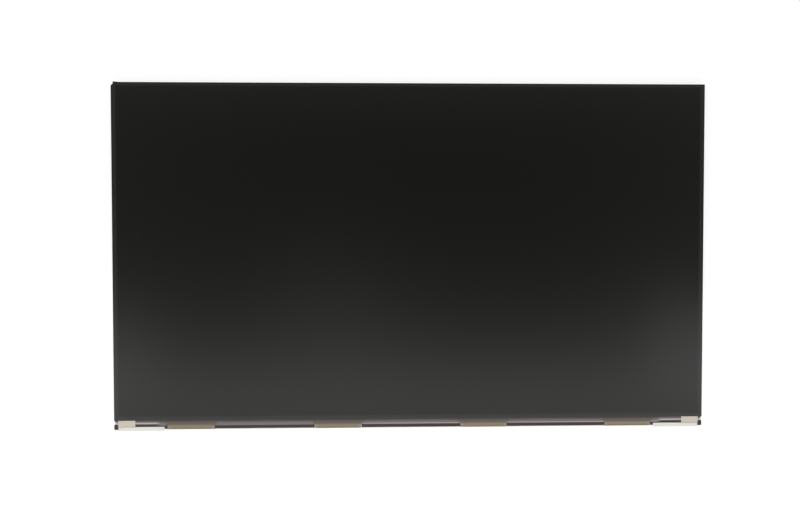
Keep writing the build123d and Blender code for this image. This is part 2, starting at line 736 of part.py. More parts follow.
def inductors():
    """Inductors beside the power chip and the backlight chip, each a drum in a square shield."""
    places = [
        (power_x + INDUCTOR_OFFSET, POWER_CHIP_RISE),
        (backlight_x - INDUCTOR_OFFSET, BACKLIGHT_CHIP_RISE),
    ]
    blocks = []
    for x, rise in places:
        block = on_board(x, rise, INDUCTOR_SIDE, INDUCTOR_SIDE, INDUCTOR_HEIGHT)
        block = fillet(block.edges().filter_by(Axis.Z), INDUCTOR_CORNER_RADIUS)
        outer_z = board_rear - INDUCTOR_HEIGHT
        groove = Circle(DRUM_RADIUS + DRUM_GAP) - Circle(DRUM_RADIUS)
        block -= Pos(x, board_bottom + rise) * layer(groove, outer_z, outer_z + DRUM_SINK)
        blocks.append(block)
    return Compound(children=blocks)


def diodes():
    """Power diodes beside the inductors."""
    places = [(power_x + DIODE_OFFSET, POWER_CHIP_RISE), (backlight_x - DIODE_OFFSET, BACKLIGHT_CHIP_RISE)]
    return Compound(children=[chip(x, rise, DIODE_LENGTH, DIODE_WIDTH, DIODE_HEIGHT) for x, rise in places])


def capacitors():
    """Ceramic capacitors: a row behind each film, and a column on either side of the main chips."""
    size = (CAPACITOR_LENGTH, CAPACITOR_WIDTH, CAPACITOR_HEIGHT)
    blocks = []
    for film_x in film_places:
        for place in row(FILM_CAPACITORS, PASSIVE_PITCH):
            blocks.append(on_board(film_x + place, CAPACITOR_ROW_RISE, *size))
    timing_reach = TIMING_CHIP_SIDE / 2 + CHIP_CAPACITOR_GAP
    power_reach = POWER_CHIP_SIDE / 2 + CHIP_CAPACITOR_GAP
    columns = [
        (timing_x - timing_reach, TIMING_CHIP_RISE),
        (timing_x + timing_reach, TIMING_CHIP_RISE),
        (power_x - power_reach, POWER_CHIP_RISE),
    ]
    for x, rise in columns:
        for place in row(CHIP_CAPACITORS, CHIP_CAPACITOR_PITCH):
            blocks.append(on_board(x, rise + place, *size))
    return Compound(children=blocks)


def resistors():
    """Chip resistors in a row behind each film."""
    size = (RESISTOR_LENGTH, RESISTOR_WIDTH, RESISTOR_HEIGHT)
    return Compound(
        children=[
            on_board(film_x + place, RESISTOR_ROW_RISE, *size)
            for film_x in film_places
            for place in row(FILM_RESISTORS, PASSIVE_PITCH)
        ]
    )


pieces = {
    "front_polarizer": front_polarizer(),
    "color_filter_glass": color_filter_glass(),
    "tft_glass": tft_glass(),
    "rear_polarizer": rear_polarizer(),
    "rim_tape": rim_tape(),
    "upper_prism_sheet": layer(sheet_plan(sheet_bottom), lower_prism_front, frame_front),
    "lower_prism_sheet": layer(sheet_plan(sheet_bottom), diffuser_front, lower_prism_front),
    "diffuser_sheet": layer(sheet_plan(sheet_bottom), guide_front, diffuser_front),
    "light_guide_plate": light_guide_plate(),
    "reflector_sheet": layer(sheet_plan(flex_inner_y + SHEET_GAP), plate_front, flex_front),
    "led_flex": led_flex(),
    "led_packages": led_packages(),
    "mold_frame": mold_frame(),
    "back_plate": back_plate(),
    "edge_tape_top": top_edge_tape(),
    "edge_tape_left": side_edge_tape(-1, edge_top - NOTCH_SIDE),
    "edge_tape_right": side_edge_tape(1, edge_top),
    "corner_bumper_left": corner_bumper(-1),
    "corner_bumper_right": corner_bumper(1),
    "corner_tape_left": corner_tape(-1),
    "corner_tape_right": corner_tape(1),
    "driver_board": driver_board(),
    "board_tape": board_tape(),
    "connector_housing": connector_housing(),
    "connector_shell": connector_shell(),
    "connector_contacts": connector_contacts(),
    "timing_chip": chip(timing_x, TIMING_CHIP_RISE, TIMING_CHIP_SIDE, TIMING_CHIP_SIDE, TIMING_CHIP_HEIGHT),
    "power_chip": chip(power_x, POWER_CHIP_RISE, POWER_CHIP_SIDE, POWER_CHIP_SIDE, POWER_CHIP_HEIGHT),
    "backlight_chip": chip(
        backlight_x, BACKLIGHT_CHIP_RISE, BACKLIGHT_CHIP_SIDE, BACKLIGHT_CHIP_SIDE, BACKLIGHT_CHIP_HEIGHT
    ),
    "memory_chip": chip(
        timing_x - MEMORY_CHIP_OFFSET,
        MEMORY_CHIP_RISE,
        MEMORY_CHIP_LENGTH,
        MEMORY_CHIP_WIDTH,
        MEMORY_CHIP_HEIGHT,
    ),
    "inductors": inductors(),
    "diodes": diodes(),
    "capacitors": capacitors(),
    "resistors": resistors(),
}
for number, film_x in enumerate(film_places, start=1):
    pieces[f"driver_film_{number}"] = driver_film(film_x)
    pieces[f"driver_chip_{number}"] = driver_chip(film_x)
for number, film_x in enumerate([film_places[0], film_places[-2], film_places[-1]], start=1):
    pieces[f"ground_tape_{number}"] = ground_tape(film_x)

os.makedirs("parts", exist_ok=True)
for name, piece in pieces.items():
    piece.label = name
    export_step(piece, f"parts/{name}.step")
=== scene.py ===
from math import cos, pi, radians, sin

import bmesh
import bpy
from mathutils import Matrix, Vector


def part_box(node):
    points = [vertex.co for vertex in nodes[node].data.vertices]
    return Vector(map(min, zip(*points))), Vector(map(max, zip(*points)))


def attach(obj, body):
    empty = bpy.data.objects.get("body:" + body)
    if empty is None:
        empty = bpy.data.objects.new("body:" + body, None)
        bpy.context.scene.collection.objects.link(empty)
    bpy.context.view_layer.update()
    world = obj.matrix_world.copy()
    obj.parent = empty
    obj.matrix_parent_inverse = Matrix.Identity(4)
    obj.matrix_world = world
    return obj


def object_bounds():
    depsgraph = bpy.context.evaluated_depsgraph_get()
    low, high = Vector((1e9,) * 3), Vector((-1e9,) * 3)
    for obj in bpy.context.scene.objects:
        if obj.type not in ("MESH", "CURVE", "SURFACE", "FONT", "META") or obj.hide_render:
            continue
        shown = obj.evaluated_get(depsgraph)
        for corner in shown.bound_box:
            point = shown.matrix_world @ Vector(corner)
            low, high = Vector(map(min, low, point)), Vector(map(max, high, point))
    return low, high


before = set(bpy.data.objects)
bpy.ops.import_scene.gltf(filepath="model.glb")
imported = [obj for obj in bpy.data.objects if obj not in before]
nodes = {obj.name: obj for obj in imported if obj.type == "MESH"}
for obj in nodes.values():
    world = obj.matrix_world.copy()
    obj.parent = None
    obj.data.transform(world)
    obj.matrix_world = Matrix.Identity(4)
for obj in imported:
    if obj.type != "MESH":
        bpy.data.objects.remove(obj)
cad_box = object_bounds()
MM = 0.001

# Back plate.
# A tray pressed from thin aluminium sheet, with stiffening beads and two flat lands for adhesive strips.
# It is left bare, so the rolling grain of the sheet shows along its length.


def linear(hex_colour):
    """An sRGB hex colour as linear red, green and blue, with full alpha."""
    shares = [int(hex_colour[start:start + 2], 16) / 255 for start in (0, 2, 4)]
    return [s / 12.92 if s <= 0.04045 else ((s + 0.055) / 1.055) ** 2.4 for s in shares] + [1.0]


def per_mm(size):
    """Texture scale, per metre, whose cells are this many millimetres across."""
    return 1 / (size * MM)


def add(made, kind, links=None, **settings):
    """Add a node to a material: settings are its properties, links its inputs, as values or outputs."""
    node = made.node_tree.nodes.new("ShaderNode" + kind)
    for name, value in settings.items():
        setattr(node, name, value)
    for socket, value in (links or {}).items():
        if isinstance(value, bpy.types.NodeSocket):
            made.node_tree.links.new(value, node.inputs[socket])
        else:
            node.inputs[socket].default_value = value
    return node


def new_material(name):
    """An empty material, and the output that gives the place on the part in metres."""
    made = bpy.data.materials.new(name)
    made.use_nodes = True
    made.node_tree.nodes.clear()
    return made, add(made, "TexCoord").outputs["Object"]


def surface(made, links):
    """End a material in one shader with these inputs."""
    shader = add(made, "BsdfPrincipled", links)
    add(made, "OutputMaterial", {"Surface": shader.outputs["BSDF"]})


def dress(made, *names):
    """Give nodes of the frame this material."""
    for name in names:
        for slot in nodes[name].material_slots:
            slot.material = made


# Rolled sheet gives long fine streaks and a soft, stretched shine.
rolled_aluminium, place = new_material("rolled aluminium sheet")
streak_place = add(
    rolled_aluminium, "Mapping", {"Vector": place, "Scale": (per_mm(30), per_mm(0.35), per_mm(2))}
)
streaks = add(
    rolled_aluminium, "TexNoise", {"Vector": streak_place.outputs[0], "Scale": 1.0, "Detail": 4.0}
)
sheet_tone = add(
    rolled_aluminium,
    "MixRGB",
    {"Fac": streaks.outputs["Fac"], "Color1": linear("a6a8aa"), "Color2": linear("c9cbcd")},
)
sheet_gloss = add(
    rolled_aluminium, "MapRange", {"Value": streaks.outputs["Fac"], "To Min": 0.34, "To Max": 0.52}
)
sheet_relief = add(
    rolled_aluminium, "Bump", {"Strength": 0.25, "Distance": 0.01 * MM, "Height": streaks.outputs["Fac"]}
)
surface(
    rolled_aluminium,
    {
        "Base Color": sheet_tone.outputs["Color"],
        "Metallic": 1.0,
        "Roughness": sheet_gloss.outputs["Result"],
        "Normal": sheet_relief.outputs["Normal"],
    },
)
dress(rolled_aluminium, "back_plate")

# Reflector sheet.
# White foamed polyester film laid in the tray, which sends light back up into the guide.
# It is loose, held by the sheets above it.

# The foam gives an even white with a faint pearl mottle.
foamed_polyester, place = new_material("white foamed polyester film")
mottle = add(foamed_polyester, "TexNoise", {"Vector": place, "Scale": per_mm(1.5), "Detail": 2.0})
foam_tone = add(
    foamed_polyester,
    "MixRGB",
    {"Fac": mottle.outputs["Fac"], "Color1": linear("eef0ef"), "Color2": linear("f7f7f5")},
)
surface(foamed_polyester, {"Base Color": foam_tone.outputs["Color"], "Roughness": 0.38, "IOR": 1.57})
dress(foamed_polyester, "reflector_sheet")

# Backlight flex and its diodes.
# A polyimide strip with copper tracks under a white cover coat, and a bare amber tail folded to the board.
# The diodes are white moulded packages with a phosphor window, soldered along it.
flex_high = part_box("led_flex")[1].z
TAIL_COVER = 0.05 * MM  # how far under its upper face the cover coat ends
WAVE_RADIANS = 20  # how far a wave texture of scale 1 turns over one metre


def band_scale(pitch):
    """Wave texture scale, per metre, whose bands are this many millimetres apart."""
    return 2 * pi / WAVE_RADIANS * per_mm(pitch)


# Amber film with darker copper lines that run down the tail.
# The real lines are 0.2 mm apart, and are drawn at 0.8 mm so that they show.
flex_polyimide, place = new_material("polyimide flex with cover coat")
flex_spot = add(flex_polyimide, "SeparateXYZ", {"Vector": place})
tracks = add(
    flex_polyimide, "TexWave", {"Vector": place, "Scale": band_scale(0.8)}, bands_direction="X"
)
amber = add(
    flex_polyimide,
    "MixRGB",
    {"Fac": tracks.outputs["Fac"], "Color1": linear("a8641f"), "Color2": linear("c98a3c")},
)
covered = add(
    flex_polyimide,
    "MapRange",
    {
        "Value": flex_spot.outputs["Z"],
        "From Min": flex_high - 2 * TAIL_COVER,
        "From Max": flex_high - TAIL_COVER,
    },
)
flex_tone = add(
    flex_polyimide,
    "MixRGB",
    {"Fac": covered.outputs["Result"], "Color1": amber.outputs["Color"], "Color2": linear("ece9df")},
)
surface(flex_polyimide, {"Base Color": flex_tone.outputs["Color"], "Roughness": 0.35, "IOR": 1.6})
dress(flex_polyimide, "led_flex")

# White resin, with the phosphor yellow only on the face that looks into the guide.
phosphor_resin = new_material("white diode resin with phosphor")[0]
outward = add(phosphor_resin, "NewGeometry").outputs["Normal"]
facing = add(phosphor_resin, "SeparateXYZ", {"Vector": outward})
window = add(phosphor_resin, "MapRange", {"Value": facing.outputs["Y"], "From Min": 0.5, "From Max": 0.6})
diode_tone = add(
    phosphor_resin,
    "MixRGB",
    {"Fac": window.outputs["Result"], "Color1": linear("f1efe8"), "Color2": linear("ecd96a")},
)
surface(phosphor_resin, {"Base Color": diode_tone.outputs["Color"], "Roughness": 0.5})
dress(phosphor_resin, "led_packages")

# Light guide.
# A clear acrylic plate with fine dots pressed into its back, lit from its lower edge.
# Ears on its sides sit in the mould frame and stop it sliding.

# Clear with a faint green edge. The dots are 0.06 mm across, and are drawn at 1 mm so that they show.
clear_acrylic, place = new_material("clear acrylic with pressed dots")
dots = add(clear_acrylic, "TexVoronoi", {"Vector": place, "Scale": per_mm(1.0), "Randomness": 0.2})
dot_relief = add(
    clear_acrylic, "Bump", {"Strength": 0.3, "Distance": 0.02 * MM, "Height": dots.outputs["Distance"]}
)
surface(
    clear_acrylic,
    {
        "Base Color": linear("eef6f2"),
        "Roughness": 0.08,
        "IOR": 1.49,
        "Transmission Weight": 0.9,
        "Normal": dot_relief.outputs["Normal"],
    },
)
dress(clear_acrylic, "light_guide_plate")

# Diffuser and prism sheets.
# Three thin polyester films laid on the guide: one frosted, two ribbed with prisms at right angles.
# They share an outline with one cut corner and are held down by the glass.

# Frosted film scatters, so it looks milky.
frosted_polyester, place = new_material("frosted polyester film")
frost = add(frosted_polyester, "TexNoise", {"Vector": place, "Scale": per_mm(0.4), "Detail": 3.0})
frost_relief = add(
    frosted_polyester, "Bump", {"Strength": 0.2, "Distance": 0.01 * MM, "Height": frost.outputs["Fac"]}
)
surface(
    frosted_polyester,
    {
        "Base Color": linear("e9eceb"),
        "Roughness": 0.6,
        "IOR": 1.57,
        "Normal": frost_relief.outputs["Normal"],
    },
)
dress(frosted_polyester, "diffuser_sheet")

# Prism film has a silky sheen along its ribs, 0.05 mm apart and drawn at 0.5 mm so that they show.
for sheet_name, rib_direction in (("lower_prism_sheet", "X"), ("upper_prism_sheet", "Y")):
    prism_film, place = new_material("ribbed prism film along " + rib_direction.lower())
    ribs = add(
        prism_film,
        "TexWave",
        {"Vector": place, "Scale": band_scale(0.5)},
        bands_direction=rib_direction,
        wave_profile="TRI",
    )
    rib_relief = add(
        prism_film, "Bump", {"Strength": 0.4, "Distance": 0.05 * MM, "Height": ribs.outputs["Fac"]}
    )
    surface(
        prism_film,
        {
            "Base Color": linear("dfe4e6"),
            "Roughness": 0.3,
            "IOR": 1.57,
            "Normal": rib_relief.outputs["Normal"],
        },
    )
    dress(prism_film, sheet_name)

# Mould frame.
# A white polycarbonate frame round the backlight, snapped into the back plate with hooks.
# Along the lower edge it has a notched rail for the films and a lip in each corner.

# Moulded white has a fine spark-eroded grain and a slightly warm, even tone.
moulded_polycarbonate, place = new_material("white moulded polycarbonate")
grain = add(moulded_polycarbonate, "TexNoise", {"Vector": place, "Scale": per_mm(0.5), "Detail": 3.0})
cloud = add(moulded_polycarbonate, "TexNoise", {"Vector": place, "Scale": per_mm(14), "Detail": 2.0})
frame_tone = add(
    moulded_polycarbonate,
    "MixRGB",
    {"Fac": cloud.outputs["Fac"], "Color1": linear("dad8d1"), "Color2": linear("e4e3dd")},
)
grain_relief = add(
    moulded_polycarbonate, "Bump", {"Strength": 0.15, "Distance": 0.02 * MM, "Height": grain.outputs["Fac"]}
)
surface(
    moulded_polycarbonate,
    {
        "Base Color": frame_tone.outputs["Color"],
        "Roughness": 0.45,
        "IOR": 1.58,
        "Normal": grain_relief.outputs["Normal"],
    },
)
dress(moulded_polycarbonate, "mold_frame")

# Light-shield tape.
# A black die-cut polyester tape with glue on both faces, which holds the glass to the mould frame.
# It shows as the dark strip on the rail between the films and beside the corner lips.

# Thin brown-black film has a satin sheen that lifts it to a warm dark grey, with faint streaks along it.
black_polyester, place = new_material("black polyester tape")
tape_place = add(
    black_polyester, "Mapping", {"Vector": place, "Scale": (per_mm(9), per_mm(0.7), per_mm(0.7))}
)
tape_streaks = add(
    black_polyester, "TexNoise", {"Vector": tape_place.outputs[0], "Scale": 1.0, "Detail": 3.0}
)
tape_tone = add(
    black_polyester,
    "MixRGB",
    {"Fac": tape_streaks.outputs["Fac"], "Color1": linear("1b110a"), "Color2": linear("2d2016")},
)
tape_relief = add(
    black_polyester, "Bump", {"Strength": 0.2, "Distance": 0.02 * MM, "Height": tape_streaks.outputs["Fac"]}
)
surface(
    black_polyester,
    {
        "Base Color": tape_tone.outputs["Color"],
        "Roughness": 0.42,
        "IOR": 1.57,
        "Normal": tape_relief.outputs["Normal"],
    },
)
dress(black_polyester, "rim_tape")

# Glass cell.
# Two sheets of display glass bonded face to face. The rear one is longer along the lower edge,
# and that ledge carries metal tracks from the driver films to the picture.
glass_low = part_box("tft_glass")[0].y
front_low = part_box("color_filter_glass")[0].y
film_low, film_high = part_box("driver_film_4")
film_pitch = film_low.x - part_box("driver_film_3")[0].x
film_half = (film_high.x - film_low.x) / 2
TRACKS_BEGIN = 0.6 * MM  # how far from a film the first tracks lie
TRACKS_WHOLE = 1.8 * MM  # and how far from it they cover the glass
CORNER_BEGINS = 4 * MM  # how far past the outermost film the tracks thin out
CORNER_BARE = 7 * MM  # and how far past it none are left


def stops(ramp, *pairs):
    """Set a colour ramp's stops from pairs of place and hex colour."""
    elements = ramp.color_ramp.elements
    while len(elements) > 1:
        elements.remove(elements[-1])
    elements[0].position, elements[0].color = pairs[0][0], linear(pairs[0][1])
    for at, colour in pairs[1:]:
        elements.new(at).color = linear(colour)


def from_film(made, spot):
    """How far a place is across from the middle of the nearest driver film."""
    along_pitch = add(made, "Math", {0: spot.outputs["X"], 1: film_pitch}, operation="FLOORED_MODULO")
    sideways = add(made, "Math", {0: along_pitch.outputs[0], 1: film_pitch / 2}, operation="SUBTRACT")
    return add(made, "Math", {0: sideways.outputs[0]}, operation="ABSOLUTE").outputs[0]


def flatness(made):
    """How squarely a face looks up or down: 1 on a flat face, 0 on an upright edge."""
    outward = add(made, "NewGeometry").outputs["Normal"]
    facing = add(made, "SeparateXYZ", {"Vector": outward})
    return add(made, "Math", {0: facing.outputs["Z"]}, operation="ABSOLUTE").outputs[0]


# Tracks under clear glass give a grey-mauve ledge with pale streaks.
# Its darkening towards the front glass is painted shade under the edge of that glass.
# The tracks are 0.03 mm apart, and are drawn at 0.6 mm so that they show.
tracked_glass, place = new_material("display glass with metal tracks")
spot = add(tracked_glass, "SeparateXYZ", {"Vector": place})
ledge = add(
    tracked_glass, "MapRange", {"Value": spot.outputs["Y"], "From Min": glass_low, "From Max": front_low}
)
ledge_tone = add(tracked_glass, "ValToRGB", {"Fac": ledge.outputs["Result"]})
# The darker stops towards the front glass are painted shade under its edge.
stops(
    ledge_tone,
    (0.0, "766f6f"),
    (0.15, "746d6d"),
    (0.34, "706969"),
    (0.53, "655e5e"),
    (0.72, "4e4747"),
    (0.91, "2c2525"),
)
streak_place = add(
    tracked_glass, "Mapping", {"Vector": place, "Scale": (per_mm(16), per_mm(0.5), per_mm(1))}
)
streaks = add(tracked_glass, "TexNoise", {"Vector": streak_place.outputs[0], "Scale": 1.0, "Detail": 2.0})
streak_share = add(
    tracked_glass,
    "MapRange",
    {"Value": streaks.outputs["Fac"], "From Min": 0.5, "From Max": 0.75, "To Max": 0.25},
)
streaked = add(
    tracked_glass,
    "MixRGB",
    {
        "Fac": streak_share.outputs["Result"],
        "Color1": ledge_tone.outputs["Color"],
        "Color2": linear("8b7d7b"),
    },
)
lines = add(
    tracked_glass, "TexWave", {"Vector": place, "Scale": band_scale(0.6)}, bands_direction="X"
)
line_share = add(tracked_glass, "MapRange", {"Value": lines.outputs["Fac"], "To Max": 0.12})
lined = add(
    tracked_glass,
    "MixRGB",
    {"Fac": line_share.outputs["Result"], "Color1": streaked.outputs["Color"], "Color2": linear("3d3838")},
)

# A pale shorting bar runs along the edge of the ledge, right of the second film.
bar_rise = add(tracked_glass, "ValToRGB", {"Fac": ledge.outputs["Result"]})
stops(bar_rise, (0.02, "000000"), (0.08, "ffffff"), (0.20, "ffffff"), (0.28, "000000"))
bar_run = add(
    tracked_glass,
    "MapRange",
    {
        "Value": spot.outputs["X"],
        "From Min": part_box("driver_film_2")[0].x,
        "From Max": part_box("driver_film_2")[1].x,
    },
)
bar_share = add(
    tracked_glass,
    "Math",
    {0: bar_rise.outputs["Color"], 1: bar_run.outputs["Result"]},
    operation="MULTIPLY",
)
barred = add(
    tracked_glass,
    "MixRGB",
    {"Fac": bar_share.outputs[0], "Color1": lined.outputs["Color"], "Color2": linear("9b898a")},
)

# Next to each film the glass has no tracks, and the black tape below it shows.
film_side = add(
    tracked_glass,
    "MapRange",
    {
        "Value": from_film(tracked_glass, spot),
        "From Min": film_half + TRACKS_BEGIN,
        "From Max": film_half + TRACKS_WHOLE,
        "To Min": 0.35,
        "To Max": 0.0,
    },
)
sided = add(
    tracked_glass,
    "MixRGB",
    {"Fac": film_side.outputs["Result"], "Color1": barred.outputs["Color"], "Color2": linear("2c2725")},
)

# Beside the outermost films the glass is bare: a pale seal shows through it, and the black tape below that.
# Its darkening towards the front glass is the same painted shade as on the rest of the ledge.
corner_tone = add(tracked_glass, "ValToRGB", {"Fac": ledge.outputs["Result"]})
# The last stops, darker towards the front glass, are painted shade under its edge.
stops(
    corner_tone,
    (0.23, "28221f"),
    (0.33, "968e8a"),
    (0.40, "c2b8b4"),
    (0.47, "b0a6a2"),
    (0.60, "837b78"),
    (0.72, "645c5a"),
    (0.85, "4c4847"),
    (1.0, "2c2525"),
)
sideways = add(tracked_glass, "Math", {0: spot.outputs["X"]}, operation="ABSOLUTE")
beside_films = add(
    tracked_glass,
    "MapRange",
    {
        "Value": sideways.outputs[0],
        "From Min": film_high.x + CORNER_BEGINS,
        "From Max": film_high.x + CORNER_BARE,
    },
)
bared = add(
    tracked_glass,
    "MixRGB",
    {
        "Fac": beside_films.outputs["Result"],
        "Color1": sided.outputs["Color"],
        "Color2": corner_tone.outputs["Color"],
    },
)
level = flatness(tracked_glass)
glass_tone = add(
    tracked_glass,
    "MixRGB",
    {"Fac": level, "Color1": linear("8b9892"), "Color2": bared.outputs["Color"]},
)
glass_gloss = add(tracked_glass, "MapRange", {"Value": level, "To Min": 0.5, "To Max": 0.38})
surface(
    tracked_glass,
    {"Base Color": glass_tone.outputs["Color"], "Roughness": glass_gloss.outputs["Result"], "IOR": 1.51},
)
dress(tracked_glass, "tft_glass")

# The front glass is black-printed round the picture, so only its ground edge looks like glass.
printed_glass, place = new_material("display glass with black border")
level = flatness(printed_glass)
print_cloud = add(printed_glass, "TexNoise", {"Vector": place, "Scale": per_mm(6), "Detail": 2.0})
print_tone = add(
    printed_glass,
    "MixRGB",
    {"Fac": print_cloud.outputs["Fac"], "Color1": linear("22211f"), "Color2": linear("2a2927")},
)
glass_tone = add(
    printed_glass,
    "MixRGB",
    {"Fac": level, "Color1": linear("6f7a75"), "Color2": print_tone.outputs["Color"]},
)
glass_gloss = add(printed_glass, "MapRange", {"Value": level, "To Min": 0.5, "To Max": 0.1})
surface(
    printed_glass,
    {"Base Color": glass_tone.outputs["Color"], "Roughness": glass_gloss.outputs["Result"], "IOR": 1.51},
)
dress(printed_glass, "color_filter_glass")

# Polarizers.
# Laminated cellulose films, one on each face of the cell. The front one has a matte anti-glare coat.
# With the panel off the picture is a near-black olive, and the border round it a little lighter.
REAR_REACH = 0.40 * MM  # how far the rear film reaches past the picture
BORDER_BLEND = 0.5 * MM  # soft change from the picture to its border
picture_low, picture_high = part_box("rear_polarizer")
picture_x = picture_high.x - REAR_REACH
picture_top = picture_high.y - REAR_REACH
picture_bottom = picture_low.y + REAR_REACH

# The anti-glare coat spreads reflections into a wide soft glow. Its grit is 0.02 mm, drawn at 0.3 mm.
anti_glare_film, place = new_material("anti-glare polarizer film")
spot = add(anti_glare_film, "SeparateXYZ", {"Vector": place})
sideways = add(anti_glare_film, "Math", {0: spot.outputs["X"]}, operation="ABSOLUTE")
past_side = add(anti_glare_film, "Math", {0: sideways.outputs[0], 1: picture_x}, operation="SUBTRACT")
past_top = add(anti_glare_film, "Math", {0: spot.outputs["Y"], 1: picture_top}, operation="SUBTRACT")
past_bottom = add(anti_glare_film, "Math", {0: picture_bottom, 1: spot.outputs["Y"]}, operation="SUBTRACT")
past_ends = add(
    anti_glare_film, "Math", {0: past_top.outputs[0], 1: past_bottom.outputs[0]}, operation="MAXIMUM"
)
past_picture = add(
    anti_glare_film, "Math", {0: past_side.outputs[0], 1: past_ends.outputs[0]}, operation="MAXIMUM"
)
border = add(
    anti_glare_film,
    "MapRange",
    {"Value": past_picture.outputs[0], "From Min": 0.0, "From Max": BORDER_BLEND},
)
film_tone = add(
    anti_glare_film,
    "MixRGB",
    {"Fac": border.outputs["Result"], "Color1": linear("050601"), "Color2": linear("1e1f1b")},
)
grit = add(anti_glare_film, "TexNoise", {"Vector": place, "Scale": per_mm(0.3), "Detail": 2.0})
grit_relief = add(
    anti_glare_film, "Bump", {"Strength": 0.05, "Distance": 0.004 * MM, "Height": grit.outputs["Fac"]}
)
surface(
    anti_glare_film,
    {
        "Base Color": film_tone.outputs["Color"],
        "Roughness": 0.374,
        "IOR": 1.5,
        "Normal": grit_relief.outputs["Normal"],
    },
)
dress(anti_glare_film, "front_polarizer", "rear_polarizer")

# Driver films and their chips.
# Four tapes of brown polyimide with copper tracks, each bonded to the ledge and folded back to the board.
# A long bare chip is flip-bonded to the inner face of each, behind the fold.
FILM_MARGIN = 1.8 * MM  # bare film beside the outermost tracks
MARGIN_BLEND = 0.4 * MM  # soft change from the tracks to that margin
FRONT_DEPTH = 0.2 * MM  # how far below its highest face a film still has its front colours
FOLD_DEPTH = 0.6 * MM  # and how far below it the film has the plain colour of its back

# Copper under brown resist looks tan where the film is free, and a dark brown where it is bonded.
# Its darker bottom at the fold and its deepening towards the front glass are painted shade.
# The tracks are 0.04 mm apart, and are drawn at 0.5 mm so that they show.
tracked_polyimide, place = new_material("polyimide film with copper tracks")
spot = add(tracked_polyimide, "SeparateXYZ", {"Vector": place})
rise = add(
    tracked_polyimide,
    "MapRange",
    {"Value": spot.outputs["Y"], "From Min": film_low.y, "From Max": front_low},
)
front_tone = add(tracked_polyimide, "ValToRGB", {"Fac": rise.outputs["Result"]})
edge_rise = (glass_low - film_low.y) / (front_low - film_low.y)  # where the film leaves the glass
# The first stops darken the bottom of the fold, and the last ones darken towards the front glass: both are
# painted shade.
stops(
    front_tone,
    (0.0, "5c5140"),
    (0.10, "7c705b"),
    (0.22, "8c7f68"),
    (1.04 * edge_rise, "8a7d67"),
    (1.16 * edge_rise, "6b6158"),
    (0.65, "635a52"),
    (0.80, "5a524c"),
    (0.92, "443d3a"),
)
in_front = add(
    tracked_polyimide,
    "MapRange",
    {
        "Value": spot.outputs["Z"],
        "From Min": film_high.z - FOLD_DEPTH,
        "From Max": film_high.z - FRONT_DEPTH,
    },
)
plain_tone = add(
    tracked_polyimide,
    "MixRGB",
    {
        "Fac": in_front.outputs["Result"],
        "Color1": linear("8b7d62"),
        "Color2": front_tone.outputs["Color"],
    },
)
lines = add(
    tracked_polyimide, "TexWave", {"Vector": place, "Scale": band_scale(0.5)}, bands_direction="X"
)
line_share = add(tracked_polyimide, "MapRange", {"Value": lines.outputs["Fac"], "To Max": 0.22})
track_tone = add(
    tracked_polyimide,
    "MixRGB",
    {
        "Fac": line_share.outputs["Result"],
        "Color1": plain_tone.outputs["Color"],
        "Color2": linear("3a3024"),
    },
)
margin = add(
    tracked_polyimide,
    "MapRange",
    {
        "Value": from_film(tracked_polyimide, spot),
        "From Min": film_half - FILM_MARGIN,
        "From Max": film_half - FILM_MARGIN + MARGIN_BLEND,
    },
)
off_glass = add(
    tracked_polyimide,
    "MapRange",
    {"Value": rise.outputs["Result"], "From Min": edge_rise, "From Max": 0.9 * edge_rise, "To Max": 0.85},
)
margin_share = add(
    tracked_polyimide,
    "Math",
    {0: margin.outputs["Result"], 1: off_glass.outputs["Result"]},
    operation="MULTIPLY",
)
film_tone = add(
    tracked_polyimide,
    "MixRGB",
    {"Fac": margin_share.outputs[0], "Color1": track_tone.outputs["Color"], "Color2": linear("8e877a")},
)
line_relief = add(
    tracked_polyimide, "Bump", {"Strength": 0.15, "Distance": 0.02 * MM, "Height": lines.outputs["Fac"]}
)
surface(
    tracked_polyimide,
    {
        "Base Color": film_tone.outputs["Color"],
        "Roughness": 0.55,
        "IOR": 1.65,
        "Specular IOR Level": 0.3,
        "Normal": line_relief.outputs["Normal"],
    },
)
dress(tracked_polyimide, *[f"driver_film_{number}" for number in range(1, 5)])

# Ground silicon is a dark blue-grey with a low mirror shine and fine grinding lines.
ground_silicon, place = new_material("ground silicon")
grind_place = add(
    ground_silicon, "Mapping", {"Vector": place, "Scale": (per_mm(0.2), per_mm(4), per_mm(1))}
)
grind = add(ground_silicon, "TexNoise", {"Vector": grind_place.outputs[0], "Scale": 1.0, "Detail": 2.0})
silicon_tone = add(
    ground_silicon,
    "MixRGB",
    {"Fac": grind.outputs["Fac"], "Color1": linear("3b3e45"), "Color2": linear("555961")},
)
surface(ground_silicon, {"Base Color": silicon_tone.outputs["Color"], "Metallic": 0.6, "Roughness": 0.3})
dress(ground_silicon, *[f"driver_chip_{number}" for number in range(1, 5)])

# Driver board.
# A long strip of glass-epoxy laminate under green solder mask, stuck behind the lower edge with tape.
# Its outer face carries the connector, the chips and the small parts.

